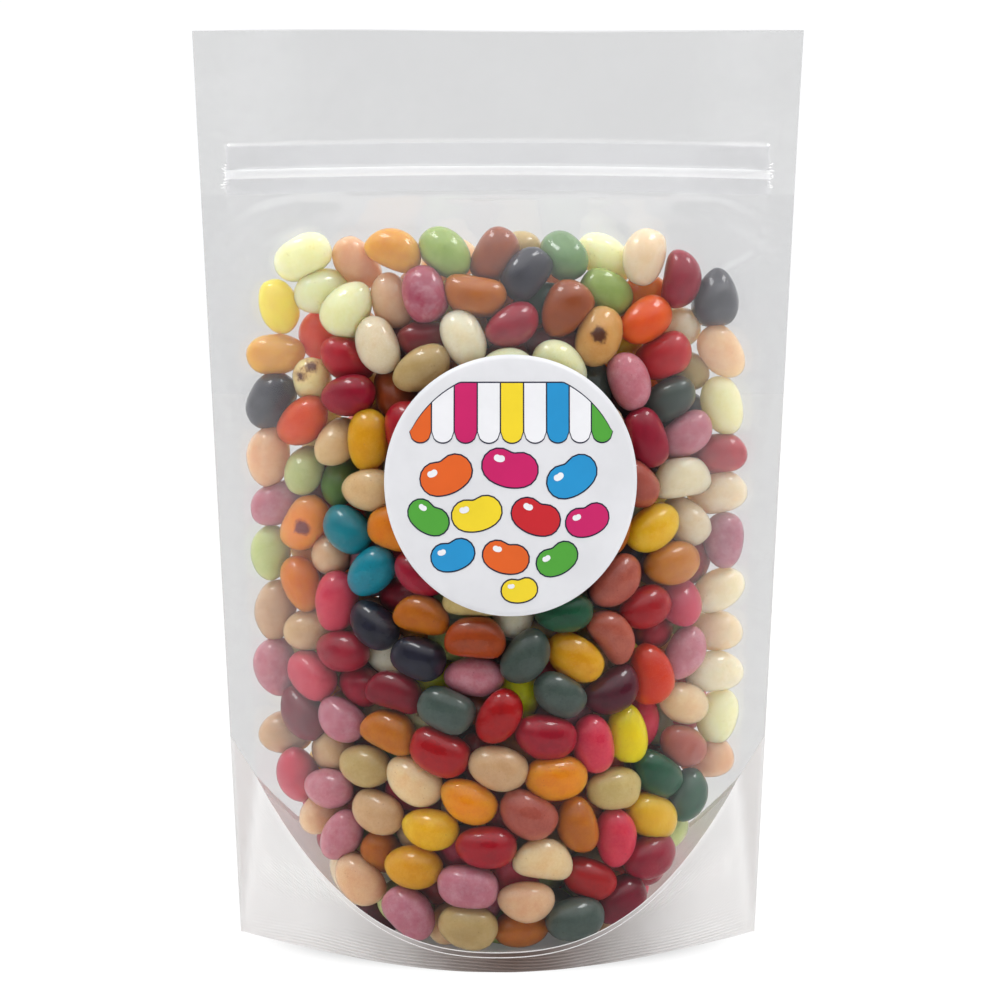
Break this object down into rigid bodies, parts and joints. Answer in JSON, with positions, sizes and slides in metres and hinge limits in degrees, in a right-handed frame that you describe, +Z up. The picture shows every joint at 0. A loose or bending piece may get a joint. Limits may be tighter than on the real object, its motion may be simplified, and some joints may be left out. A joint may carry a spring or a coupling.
{
  "type": "stand-up pouch of jelly beans",
  "caption": "Clear stand-up zip pouch filled with assorted jelly beans, with a gusseted base, a flat header and a round paper label on the front.",
  "frame": {"origin": "middle of the base, on the surface the pouch stands on", "axes": "+X along the pouch's width, to the right seen from the front; +Y from the front panel to the back panel; +Z up to the open end"},
  "size_m": [0.1524, 0.07, 0.2286],
  "materials": {
    "candy": "polished sugar shells in many colours, seen through clear film",
    "film": "clear glossy laminated film",
    "label_paper": "white coated paper with a soft sheen",
    "zip_plastic": "translucent extruded plastic track"
  },
  "bodies": {
    "root": {"pouch": "candy", "label": "label_paper", "zip_rail_front": "zip_plastic", "zip_rail_back": "zip_plastic"}
  },
  "joints": []
}
